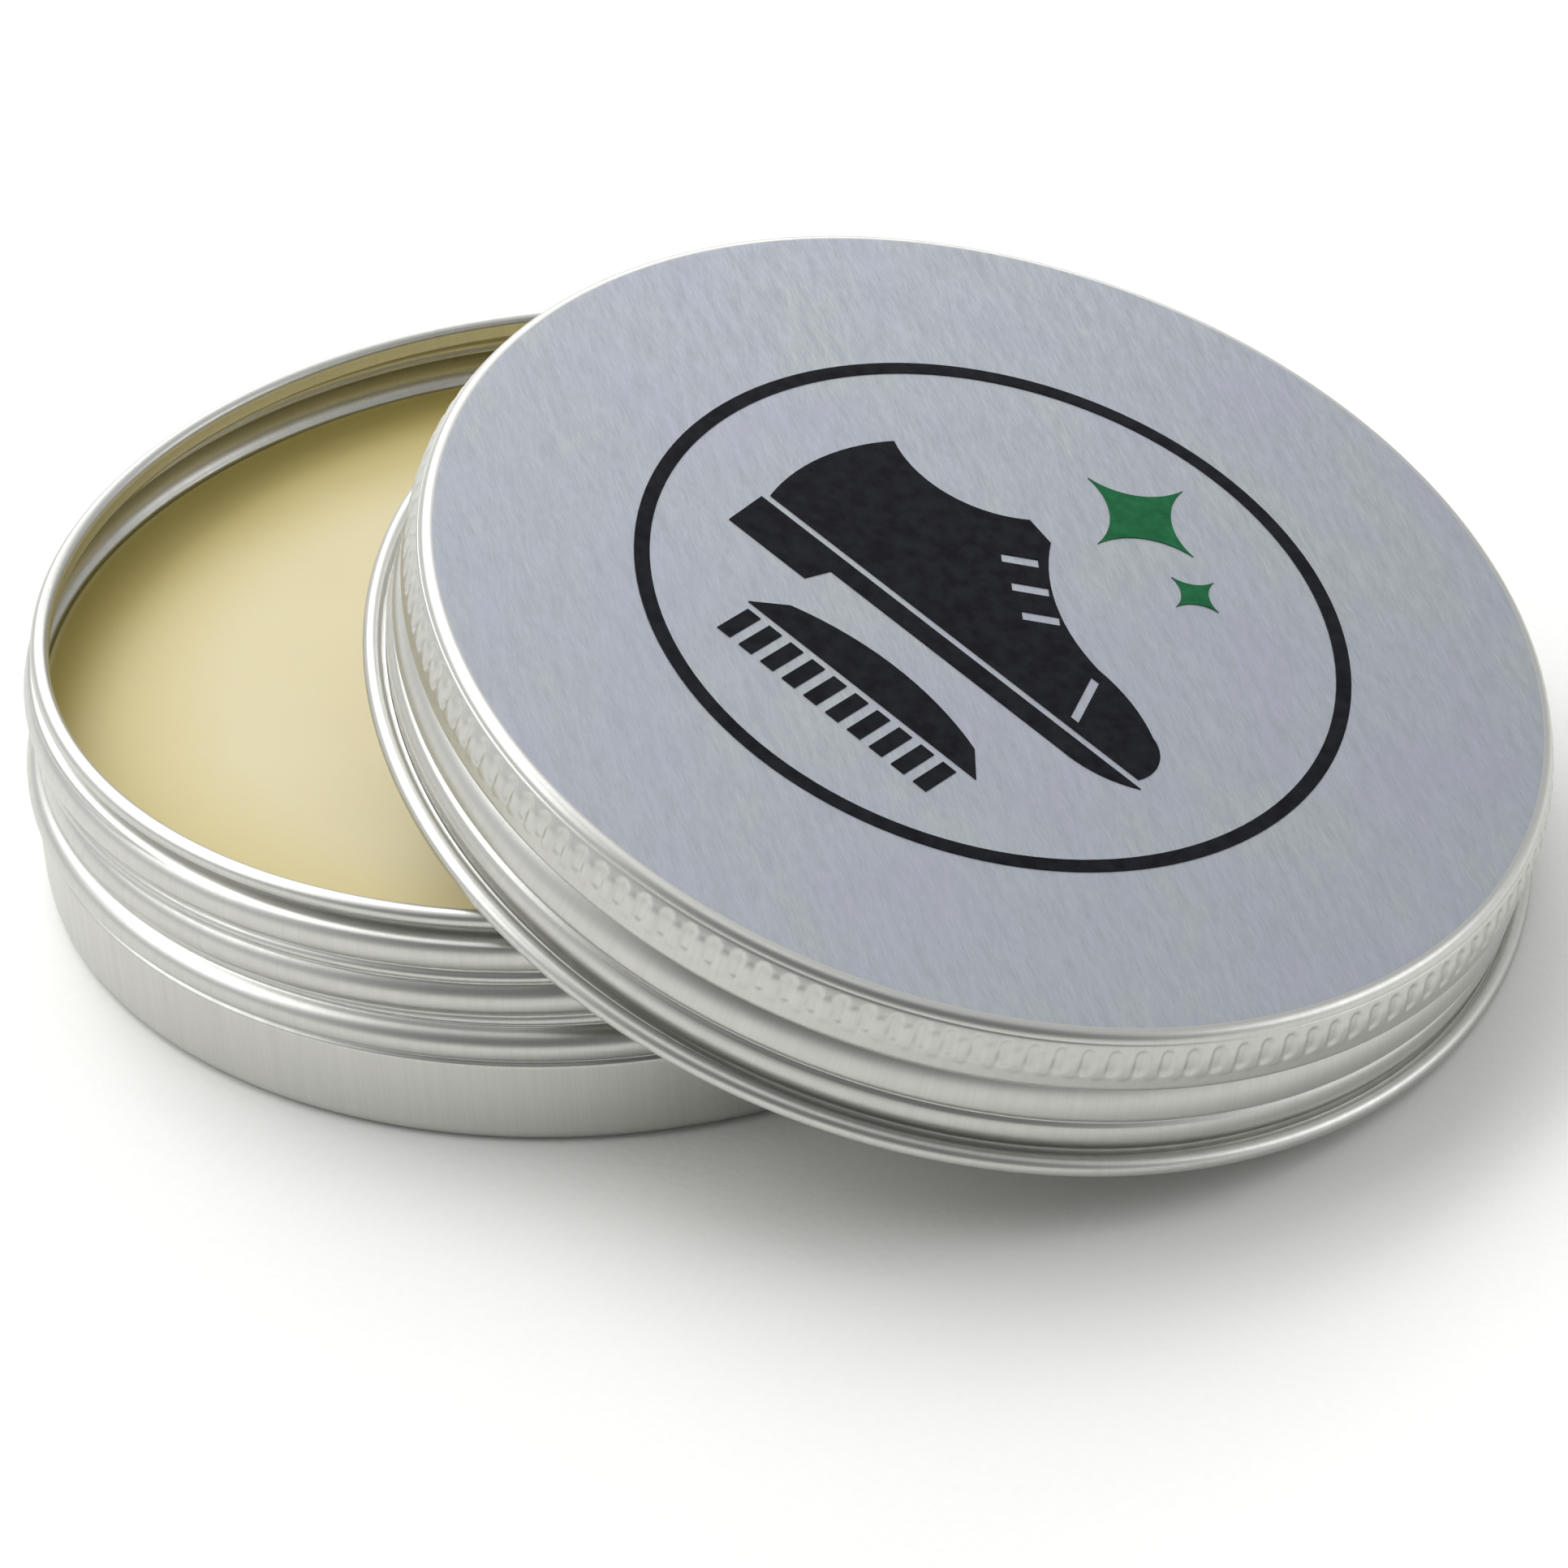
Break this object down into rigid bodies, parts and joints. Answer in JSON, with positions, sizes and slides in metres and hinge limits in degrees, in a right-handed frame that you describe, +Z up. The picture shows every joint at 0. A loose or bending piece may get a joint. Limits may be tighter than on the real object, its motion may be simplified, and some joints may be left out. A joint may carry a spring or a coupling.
{
  "type": "shoe polish tin",
  "caption": "Shallow round aluminium tin of cream wax with a rolled rim, its knurled screw lid off and leaning on the rim.",
  "frame": {"origin": "centre of the cup's flat bottom, on the table", "axes": "+Z up, +X towards the side the leaning lid comes down to the table, +Y completes the right-handed set"},
  "size_m": [0.1126, 0.0848, 0.0367],
  "materials": {
    "brushed_aluminium": "satin drawn sheet",
    "lid_aluminium": "satin brushed sheet",
    "cream_wax": "smooth set wax, satin",
    "white_foam": "expanded foam sheet",
    "black_ink": "flat print",
    "green_ink": "flat print"
  },
  "bodies": {
    "cup": {"base_cup": "brushed_aluminium", "polish": "cream_wax"},
    "liner": {"lid_liner": "white_foam"},
    "lid": {"lid_shell": "lid_aluminium", "print_black": "black_ink", "print_green": "green_ink"}
  },
  "joints": [
    {"name": "lid_lift", "type": "slide", "parent": "cup", "child": "liner", "axis": [0, 0, 1], "range_m": [0, 0.06]},
    {"name": "lid_turn", "type": "hinge", "parent": "liner", "child": "lid", "pos_m": [0.0291, 0, 0.01309], "axis": [0.3123, 0, 0.95], "continuous": true}
  ]
}
